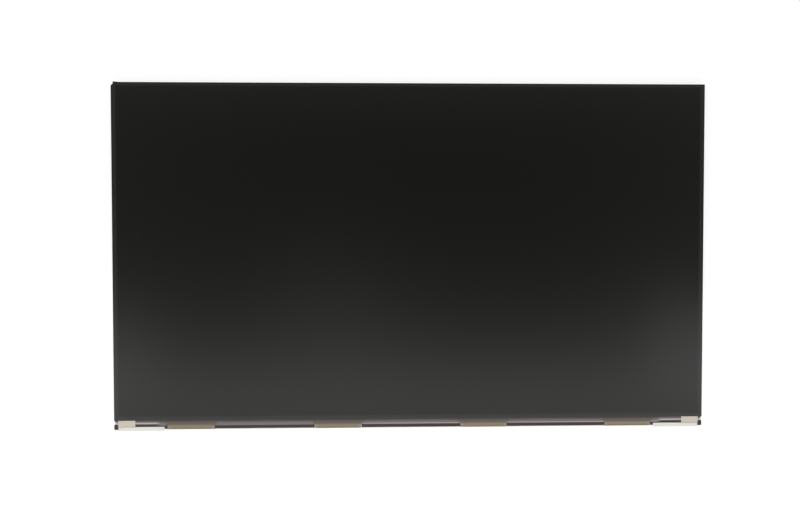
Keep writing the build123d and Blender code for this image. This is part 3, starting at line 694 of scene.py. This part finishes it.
# Mask over copper gives a dark green with lighter tracks and tinned vias; the cut edge is straw-coloured.
# Tracks are 0.15 mm apart, and are drawn at 0.7 mm so that they show.
masked_laminate, place = new_material("green-masked laminate")
rows = add(
    masked_laminate, "TexWave", {"Vector": place, "Scale": band_scale(0.7)}, bands_direction="Y"
)
row_edge = add(
    masked_laminate, "MapRange", {"Value": rows.outputs["Fac"], "From Min": 0.55, "From Max": 0.7}
)
patches = add(
    masked_laminate, "TexVoronoi", {"Vector": place, "Scale": per_mm(7)}, distance="CHEBYCHEV"
)
patch_parts = add(masked_laminate, "SeparateXYZ", {"Vector": patches.outputs["Color"]})
patch_share = add(
    masked_laminate, "Math", {0: patch_parts.outputs["X"], 1: 0.4}, operation="GREATER_THAN"
)
track_share = add(
    masked_laminate,
    "Math",
    {0: row_edge.outputs["Result"], 1: patch_share.outputs[0]},
    operation="MULTIPLY",
)
mask_tone = add(
    masked_laminate,
    "MixRGB",
    {"Fac": track_share.outputs[0], "Color1": linear("0f3b28"), "Color2": linear("1f5a3d")},
)
vias = add(masked_laminate, "TexVoronoi", {"Vector": place, "Scale": per_mm(2.6), "Randomness": 0.8})
via_share = add(masked_laminate, "Math", {0: vias.outputs["Distance"], 1: 0.09}, operation="LESS_THAN")
via_tone = add(
    masked_laminate,
    "MixRGB",
    {"Fac": via_share.outputs[0], "Color1": mask_tone.outputs["Color"], "Color2": linear("b9b7a4")},
)
level = flatness(masked_laminate)
board_tone = add(
    masked_laminate,
    "MixRGB",
    {"Fac": level, "Color1": linear("b09a62"), "Color2": via_tone.outputs["Color"]},
)
track_relief = add(
    masked_laminate, "Bump", {"Strength": 0.4, "Distance": 0.03 * MM, "Height": track_share.outputs[0]}
)
surface(
    masked_laminate,
    {
        "Base Color": board_tone.outputs["Color"],
        "Roughness": 0.33,
        "IOR": 1.55,
        "Normal": track_relief.outputs["Normal"],
    },
)
dress(masked_laminate, "driver_board")

# Tape glue is a soft translucent white, with small trapped bubbles.
acrylic_glue, place = new_material("acrylic glue on tissue")
bubbles = add(acrylic_glue, "TexNoise", {"Vector": place, "Scale": per_mm(0.8), "Detail": 2.0})
glue_tone = add(
    acrylic_glue,
    "MixRGB",
    {"Fac": bubbles.outputs["Fac"], "Color1": linear("d9d6c8"), "Color2": linear("ece9de")},
)
surface(acrylic_glue, {"Base Color": glue_tone.outputs["Color"], "Roughness": 0.55, "IOR": 1.47})
dress(acrylic_glue, "board_tape")

# Chips and small parts on the board.
# Moulded epoxy packages with solder pads round them, ceramic capacitors and resistors with tinned ends,
# and two ferrite inductors. All are soldered flat to the board.
board_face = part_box("driver_board")[0].z
MERGE_REACH = 0.001 * MM  # corners nearer than this are the same corner


def solid_boxes(name):
    """Lowest and highest corner of each separate solid in a node, from left to right."""
    mesh = bmesh.new()
    mesh.from_mesh(nodes[name].data)
    bmesh.ops.remove_doubles(mesh, verts=mesh.verts, dist=MERGE_REACH)
    seen = set()
    boxes = []
    for first in mesh.verts:
        if first in seen:
            continue
        seen.add(first)
        solid = [first]
        for vertex in solid:
            for edge in vertex.link_edges:
                other = edge.other_vert(vertex)
                if other not in seen:
                    seen.add(other)
                    solid.append(other)
        corners = [[vertex.co[axis] for vertex in solid] for axis in range(3)]
        boxes.append((Vector(map(min, corners)), Vector(map(max, corners))))
    mesh.free()
    return sorted(boxes, key=lambda box: tuple(box[0]))


def blocks(name, boxes, bevel, made):
    """One piece of small blocks with softened edges, each given by its lowest and highest corner."""
    mesh = bmesh.new()
    for low, high in boxes:
        for vertex in bmesh.ops.create_cube(mesh, size=1.0)["verts"]:
            share = vertex.co + Vector((0.5, 0.5, 0.5))
            vertex.co = [low[axis] + share[axis] * (high[axis] - low[axis]) for axis in range(3)]
    bmesh.ops.bevel(mesh, geom=mesh.edges[:], offset=bevel, segments=2, affect="EDGES", profile=0.5)
    data = bpy.data.meshes.new(name)
    mesh.to_mesh(data)
    mesh.free()
    data.materials.append(made)
    piece = bpy.data.objects.new(name, data)
    bpy.context.collection.objects.link(piece)
    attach(piece, "root")


# Moulded epoxy is matte black with a faint grey bloom.
moulded_epoxy, place = new_material("black moulded epoxy")
bloom = add(moulded_epoxy, "TexNoise", {"Vector": place, "Scale": per_mm(0.6), "Detail": 3.0})
epoxy_tone = add(
    moulded_epoxy,
    "MixRGB",
    {"Fac": bloom.outputs["Fac"], "Color1": linear("1b1b1d"), "Color2": linear("2a2a2c")},
)
epoxy_relief = add(
    moulded_epoxy, "Bump", {"Strength": 0.2, "Distance": 0.02 * MM, "Height": bloom.outputs["Fac"]}
)
surface(
    moulded_epoxy,
    {
        "Base Color": epoxy_tone.outputs["Color"],
        "Roughness": 0.55,
        "IOR": 1.55,
        "Normal": epoxy_relief.outputs["Normal"],
    },
)
dress(moulded_epoxy, "timing_chip", "power_chip", "backlight_chip", "memory_chip", "diodes")

# Fired ceramic is a dull brown, and varies a little from part to part.
fired_ceramic, place = new_material("brown fired ceramic")
batch = add(fired_ceramic, "TexNoise", {"Vector": place, "Scale": per_mm(3), "Detail": 1.0})
ceramic_tone = add(
    fired_ceramic,
    "MixRGB",
    {"Fac": batch.outputs["Fac"], "Color1": linear("8a6a4c"), "Color2": linear("b08e6a")},
)
surface(fired_ceramic, {"Base Color": ceramic_tone.outputs["Color"], "Roughness": 0.5})
dress(fired_ceramic, "capacitors")

# Resistor glaze is smooth black over white alumina, which shows at the sides.
glazed_alumina = new_material("black glaze on alumina")[0]
level = flatness(glazed_alumina)
glaze_tone = add(
    glazed_alumina,
    "MixRGB",
    {"Fac": level, "Color1": linear("d8d6cf"), "Color2": linear("1d1d1f")},
)
surface(glazed_alumina, {"Base Color": glaze_tone.outputs["Color"], "Roughness": 0.28})
dress(glazed_alumina, "resistors")

# Pressed ferrite is a granular dark grey.
pressed_ferrite, place = new_material("pressed ferrite")
granules = add(pressed_ferrite, "TexNoise", {"Vector": place, "Scale": per_mm(0.25), "Detail": 3.0})
ferrite_tone = add(
    pressed_ferrite,
    "MixRGB",
    {"Fac": granules.outputs["Fac"], "Color1": linear("3a3a3d"), "Color2": linear("565659")},
)
ferrite_relief = add(
    pressed_ferrite, "Bump", {"Strength": 0.5, "Distance": 0.05 * MM, "Height": granules.outputs["Fac"]}
)
surface(
    pressed_ferrite,
    {
        "Base Color": ferrite_tone.outputs["Color"],
        "Roughness": 0.7,
        "Normal": ferrite_relief.outputs["Normal"],
    },
)
dress(pressed_ferrite, "inductors")

# Reflowed tin is bright and slightly uneven, softer than polished metal.
reflowed_tin, place = new_material("reflowed tin")
ripple = add(reflowed_tin, "TexNoise", {"Vector": place, "Scale": per_mm(0.5), "Detail": 2.0})
tin_tone = add(
    reflowed_tin,
    "MixRGB",
    {"Fac": ripple.outputs["Fac"], "Color1": linear("b4b3ae"), "Color2": linear("d6d5d0")},
)
tin_relief = add(
    reflowed_tin, "Bump", {"Strength": 0.3, "Distance": 0.03 * MM, "Height": ripple.outputs["Fac"]}
)
surface(
    reflowed_tin,
    {
        "Base Color": tin_tone.outputs["Color"],
        "Metallic": 1.0,
        "Roughness": 0.32,
        "Normal": tin_relief.outputs["Normal"],
    },
)

END_LENGTH = 0.24 * MM  # tinned end of a capacitor or resistor
END_SKIN = 0.02 * MM  # how far the tin stands out of the body
END_BEVEL = 0.015 * MM
for part_name in ("capacitors", "resistors"):
    ends = []
    for low, high in solid_boxes(part_name):
        outer_low = low - Vector((END_SKIN, END_SKIN, END_SKIN))
        outer_high = high + Vector((END_SKIN, END_SKIN, 0))
        ends.append((outer_low, Vector((low.x + END_LENGTH, outer_high.y, outer_high.z))))
        ends.append((Vector((high.x - END_LENGTH, outer_low.y, outer_low.z)), outer_high))
    blocks(part_name[:-1] + "_ends", ends, END_BEVEL, reflowed_tin)

PAD_PITCH = 0.5 * MM
PAD_WIDTH = 0.26 * MM
PAD_INSIDE = 0.30 * MM  # how far a pad reaches under its chip
PAD_OUTSIDE = 0.14 * MM  # and how far it stands out beside it
PAD_HEIGHT = 0.12 * MM
PAD_BEVEL = 0.03 * MM
for chip_name in ("timing_chip", "power_chip", "backlight_chip"):
    low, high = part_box(chip_name)
    centre = (low + high) / 2
    half_side = (high.x - low.x) / 2
    pad_count = int((2 * half_side - 2 * PAD_PITCH) / PAD_PITCH) + 1
    pads = []
    for index in range(pad_count):
        along = (index - (pad_count - 1) / 2) * PAD_PITCH
        for side in (-1, 1):
            span = sorted((side * (half_side - PAD_INSIDE), side * (half_side + PAD_OUTSIDE)))
            across = (along - PAD_WIDTH / 2, along + PAD_WIDTH / 2)
            for x_span, y_span in ((span, across), (across, span)):
                pad_low = Vector((centre.x + x_span[0], centre.y + y_span[0], board_face - PAD_HEIGHT))
                pad_high = Vector((centre.x + x_span[1], centre.y + y_span[1], board_face))
                pads.append((pad_low, pad_high))
    blocks(chip_name + "_pads", pads, PAD_BEVEL, reflowed_tin)

# Display connector.
# A beige moulded body with gold-flashed contacts along its slot, under a folded tinned shell.
# The shell's feet and the contacts' feet are soldered to the board.

# Filled liquid-crystal polymer is an opaque beige with fine flow lines.
filled_polymer, place = new_material("beige filled polymer")
flow_place = add(
    filled_polymer, "Mapping", {"Vector": place, "Scale": (per_mm(4), per_mm(0.4), per_mm(0.4))}
)
flow = add(filled_polymer, "TexNoise", {"Vector": flow_place.outputs[0], "Scale": 1.0, "Detail": 2.0})
polymer_tone = add(
    filled_polymer,
    "MixRGB",
    {"Fac": flow.outputs["Fac"], "Color1": linear("cdbf9f"), "Color2": linear("ddd2b6")},
)
surface(filled_polymer, {"Base Color": polymer_tone.outputs["Color"], "Roughness": 0.5, "IOR": 1.6})
dress(filled_polymer, "connector_housing")
dress(reflowed_tin, "connector_shell")

# A flash of gold over nickel is a bright, pale yellow.
gold_flash, place = new_material("gold flash over nickel")
wipe = add(gold_flash, "TexNoise", {"Vector": place, "Scale": per_mm(0.3), "Detail": 1.0})
gold_tone = add(
    gold_flash,
    "MixRGB",
    {"Fac": wipe.outputs["Fac"], "Color1": linear("d9b45e"), "Color2": linear("eccb7c")},
)
surface(gold_flash, {"Base Color": gold_tone.outputs["Color"], "Metallic": 1.0, "Roughness": 0.25})
dress(gold_flash, "connector_contacts")

# Grounding tapes.
# Three strips of woven polyester plated with copper and nickel, with conductive glue on one face.
# Each is pressed down over the edge of the board and onto the back plate.

# Plated cloth has a grey metal shine broken by its weave, 0.2 mm a thread and drawn at 0.5 mm.
plated_cloth, place = new_material("nickel-plated woven cloth")
weave_scale = band_scale(0.5)
warp = add(plated_cloth, "TexWave", {"Vector": place, "Scale": weave_scale}, bands_direction="X")
weft = add(plated_cloth, "TexWave", {"Vector": place, "Scale": weave_scale}, bands_direction="Y")
weave = add(
    plated_cloth, "Math", {0: warp.outputs["Fac"], 1: weft.outputs["Fac"]}, operation="MULTIPLY"
)
cloth_tone = add(
    plated_cloth,
    "MixRGB",
    {"Fac": weave.outputs[0], "Color1": linear("77767a"), "Color2": linear("b3b1ae")},
)
cloth_relief = add(
    plated_cloth, "Bump", {"Strength": 0.6, "Distance": 0.06 * MM, "Height": weave.outputs[0]}
)
surface(
    plated_cloth,
    {
        "Base Color": cloth_tone.outputs["Color"],
        "Metallic": 0.8,
        "Roughness": 0.45,
        "Normal": cloth_relief.outputs["Normal"],
    },
)
dress(plated_cloth, "ground_tape_1", "ground_tape_2", "ground_tape_3")

# Edge tapes.
# Three strips of black polyester tape, one along the top and one on each side.
# Each is stuck along the edge of the glass and wrapped round onto the back plate.

# Wrapped tape is a smoother, blacker film than the light shield, with a satin line along its edge.
wrapped_polyester, place = new_material("black wrapped polyester tape")
wrap_noise = add(wrapped_polyester, "TexNoise", {"Vector": place, "Scale": per_mm(2.5), "Detail": 3.0})
wrap_tone = add(
    wrapped_polyester,
    "MixRGB",
    {"Fac": wrap_noise.outputs["Fac"], "Color1": linear("1e1e1c"), "Color2": linear("2b2b28")},
)
wrap_relief = add(
    wrapped_polyester,
    "Bump",
    {"Strength": 0.25, "Distance": 0.05 * MM, "Height": wrap_noise.outputs["Fac"]},
)
surface(
    wrapped_polyester,
    {
        "Base Color": wrap_tone.outputs["Color"],
        "Roughness": 0.4,
        "IOR": 1.57,
        "Normal": wrap_relief.outputs["Normal"],
    },
)
dress(wrapped_polyester, "edge_tape_top", "edge_tape_left", "edge_tape_right")

# Corner tapes.
# A short strip of cream acetate cloth tape in each lower corner.
# It is pressed by hand over the edge of the glass and onto the lip of the mould frame.

# The cloth is matte, with a speckle of threads 0.25 mm apart that is drawn at 0.6 mm so that it shows.
acetate_cloth, place = new_material("cream acetate cloth")
thread_scale = band_scale(0.6)
warp = add(acetate_cloth, "TexWave", {"Vector": place, "Scale": thread_scale}, bands_direction="X")
weft = add(acetate_cloth, "TexWave", {"Vector": place, "Scale": thread_scale}, bands_direction="Y")
weave = add(acetate_cloth, "Math", {0: warp.outputs["Fac"], 1: weft.outputs["Fac"]}, operation="MULTIPLY")
slub = add(acetate_cloth, "TexNoise", {"Vector": place, "Scale": per_mm(0.8), "Detail": 3.0})
thread_share = add(
    acetate_cloth, "Math", {0: weave.outputs[0], 1: slub.outputs["Fac"]}, operation="MULTIPLY"
)
thread_light = add(
    acetate_cloth, "MapRange", {"Value": thread_share.outputs[0], "From Min": 0.0, "From Max": 0.5}
)
thread_tone = add(
    acetate_cloth,
    "MixRGB",
    {"Fac": thread_light.outputs["Result"], "Color1": linear("c2baab"), "Color2": linear("ddd6c8")},
)
thread_relief = add(
    acetate_cloth, "Bump", {"Strength": 0.7, "Distance": 0.08 * MM, "Height": weave.outputs[0]}
)
surface(
    acetate_cloth,
    {
        "Base Color": thread_tone.outputs["Color"],
        "Roughness": 0.85,
        "Sheen Weight": 0.15,
        "Normal": thread_relief.outputs["Normal"],
    },
)
dress(acetate_cloth, "corner_tape_left", "corner_tape_right")

# Corner bumpers.
# Small moulded blocks of black silicone rubber, one in each lower corner.
# They are pushed in beside the lips and take the knocks.

# Moulded rubber is a dull warm black with a dusty bloom.
moulded_rubber, place = new_material("black moulded silicone rubber")
dust = add(moulded_rubber, "TexNoise", {"Vector": place, "Scale": per_mm(0.7), "Detail": 4.0})
rubber_tone = add(
    moulded_rubber,
    "MixRGB",
    {"Fac": dust.outputs["Fac"], "Color1": linear("302d27"), "Color2": linear("403c34")},
)
rubber_relief = add(
    moulded_rubber, "Bump", {"Strength": 0.4, "Distance": 0.04 * MM, "Height": dust.outputs["Fac"]}
)
surface(
    moulded_rubber,
    {
        "Base Color": rubber_tone.outputs["Color"],
        "Roughness": 0.75,
        "IOR": 1.43,
        "Normal": rubber_relief.outputs["Normal"],
    },
)
dress(moulded_rubber, "corner_bumper_left", "corner_bumper_right")

# Studio.
# A white floor that curves up into a backdrop all round, four large soft lamps low down on the four sides,
# and soft strips near the part. The one over the lower edge gives the glow low on the screen.
NEAR_RINGS = (0.3, 1.0)  # radii near the part, in metres like every size of the studio
FLOOR_RADIUS = 5.0
BACKDROP_RADIUS = 1.35
BACKDROP_HEIGHT = 1.4
TURN_STEPS = 64
BEND_STEPS = 12
profile = [(radius, 0.0) for radius in (*NEAR_RINGS, FLOOR_RADIUS)]
for step in range(1, BEND_STEPS + 1):
    angle = step / BEND_STEPS * pi / 2
    profile.append((FLOOR_RADIUS + BACKDROP_RADIUS * sin(angle), BACKDROP_RADIUS * (1 - cos(angle))))
profile.append((FLOOR_RADIUS + BACKDROP_RADIUS, BACKDROP_HEIGHT))
turns = [2 * pi * step / TURN_STEPS for step in range(TURN_STEPS)]
mesh = bmesh.new()
middle = mesh.verts.new((0, 0, 0))
rings = []
for radius, height in profile:
    rings.append([mesh.verts.new((radius * cos(turn), radius * sin(turn), height)) for turn in turns])
for step in range(TURN_STEPS):
    after = (step + 1) % TURN_STEPS
    mesh.faces.new((middle, rings[0][step], rings[0][after]))
    for inner, outer in zip(rings, rings[1:]):
        mesh.faces.new((inner[step], outer[step], outer[after], inner[after]))
for face in mesh.faces:
    face.smooth = True
floor_data = bpy.data.meshes.new("studio_floor")
mesh.to_mesh(floor_data)
mesh.free()
studio_floor = bpy.data.objects.new("studio_floor", floor_data)
studio_floor.location.z = cad_box[0].z
bpy.context.collection.objects.link(studio_floor)

# White paper, lit by the lamps near the part and brought up to white by its own glow further out.
GLOW_NEAR = 0.4  # how far from the middle the glow begins to rise
GLOW_FAR = 1.6  # and how far from it the glow is full white
white_paper, place = new_material("white studio paper")
distance = add(white_paper, "VectorMath", {0: place}, operation="LENGTH")
glow = add(
    white_paper,
    "MapRange",
    {
        "Value": distance.outputs["Value"],
        "From Min": GLOW_NEAR,
        "From Max": GLOW_FAR,
        "To Min": 0.72,
        "To Max": 1.0,
    },
)
path = add(white_paper, "LightPath")
seen = add(
    white_paper,
    "Math",
    {0: path.outputs["Is Camera Ray"], 1: path.outputs["Is Glossy Ray"]},
    operation="MAXIMUM",
)
seen_or_through = add(
    white_paper, "Math", {0: seen.outputs[0], 1: path.outputs["Is Transmission Ray"]}, operation="MAXIMUM"
)
glow_seen = add(
    white_paper, "Math", {0: glow.outputs["Result"], 1: seen_or_through.outputs[0]}, operation="MULTIPLY"
)
paper = add(white_paper, "BsdfDiffuse", {"Color": linear("a6a6a6")})
light = add(white_paper, "Emission", {"Color": linear("ffffff"), "Strength": glow_seen.outputs[0]})
both = add(white_paper, "AddShader", {0: paper.outputs[0], 1: light.outputs[0]})
add(white_paper, "OutputMaterial", {"Surface": both.outputs[0]})
floor_data.materials.append(white_paper)

world = bpy.data.worlds.new("dim studio")
world.use_nodes = True
sky = world.node_tree.nodes["Background"]
sky.inputs["Color"].default_value = linear("ffffff")
sky.inputs["Strength"].default_value = 0.06
bpy.context.scene.world = world


def soft_lamp(name, place, aim, width, depth, power):
    """A rectangular soft lamp that faces a point."""
    data = bpy.data.lights.new(name, "AREA")
    data.shape = "RECTANGLE"
    data.size = width
    data.size_y = depth
    data.energy = power
    lamp = bpy.data.objects.new(name, data)
    lamp.location = place
    lamp.rotation_euler = (Vector(aim) - Vector(place)).to_track_quat("-Z", "Y").to_euler()
    lamp.visible_camera = False
    bpy.context.collection.objects.link(lamp)


# Each softbox has the direction that it stands in and its power in watts.
SOFTBOX_REACH = 0.95
SOFTBOX_RISE = 0.55
SOFTBOX_WIDTH = 0.7
SOFTBOX_DEPTH = 0.5
for lamp_name, lamp_x, lamp_y, power in (
    ("left", -1, 0, 4.9),
    ("right", 1, 0, 3.4),
    ("back", 0, 1, 4.15),
    ("front", 0, -1, 4.15),
):
    soft_lamp(
        lamp_name + "_softbox",
        (SOFTBOX_REACH * lamp_x, SOFTBOX_REACH * lamp_y, SOFTBOX_RISE),
        (0, 0, 0),
        SOFTBOX_WIDTH,
        SOFTBOX_DEPTH,
        power,
    )

# Each strip has its place, its width and its brightness, so a wider one has more power.
STRIP_DEPTH = 0.06
STRIP_AIM = 0.7  # a strip faces the floor at this share of its own distance from the middle
for lamp_name, lamp_place, width, brightness in (
    ("lower_strip", (0.0, -0.124, 0.20), 0.66, 1.90),
    ("upper_strip", (0.0, 0.15, 0.12), 0.66, 0.42),
    ("middle_strip", (-0.05, -0.06, 0.25), 0.08, 0.60),
    ("lower_left_strip", (-0.20, -0.07, 0.10), 0.06, 0.58),
    ("lower_right_strip", (0.20, -0.065, 0.10), 0.06, 0.82),
):
    soft_lamp(
        lamp_name,
        lamp_place,
        (STRIP_AIM * lamp_place[0], STRIP_AIM * lamp_place[1], 0),
        width,
        STRIP_DEPTH,
        brightness * pi * width * STRIP_DEPTH,
    )

# Camera.
# It stands where the photograph was taken from, nearly straight above and a little left of the middle.
CAMERA_PLACE = (-33.52 * MM, 25.205 * MM, 659.82 * MM)
CAMERA_TILT = (-2.233, -2.361, -0.030)  # degrees about X, Y and Z
camera_data = bpy.data.cameras.new("camera")
camera_data.lens = 50.0
camera_data.sensor_width = 36.0
camera = bpy.data.objects.new("camera", camera_data)
camera.location = CAMERA_PLACE
camera.rotation_euler = [radians(angle) for angle in CAMERA_TILT]
bpy.context.collection.objects.link(camera)
bpy.context.scene.camera = camera
bpy.context.scene.view_settings.view_transform = "Standard"
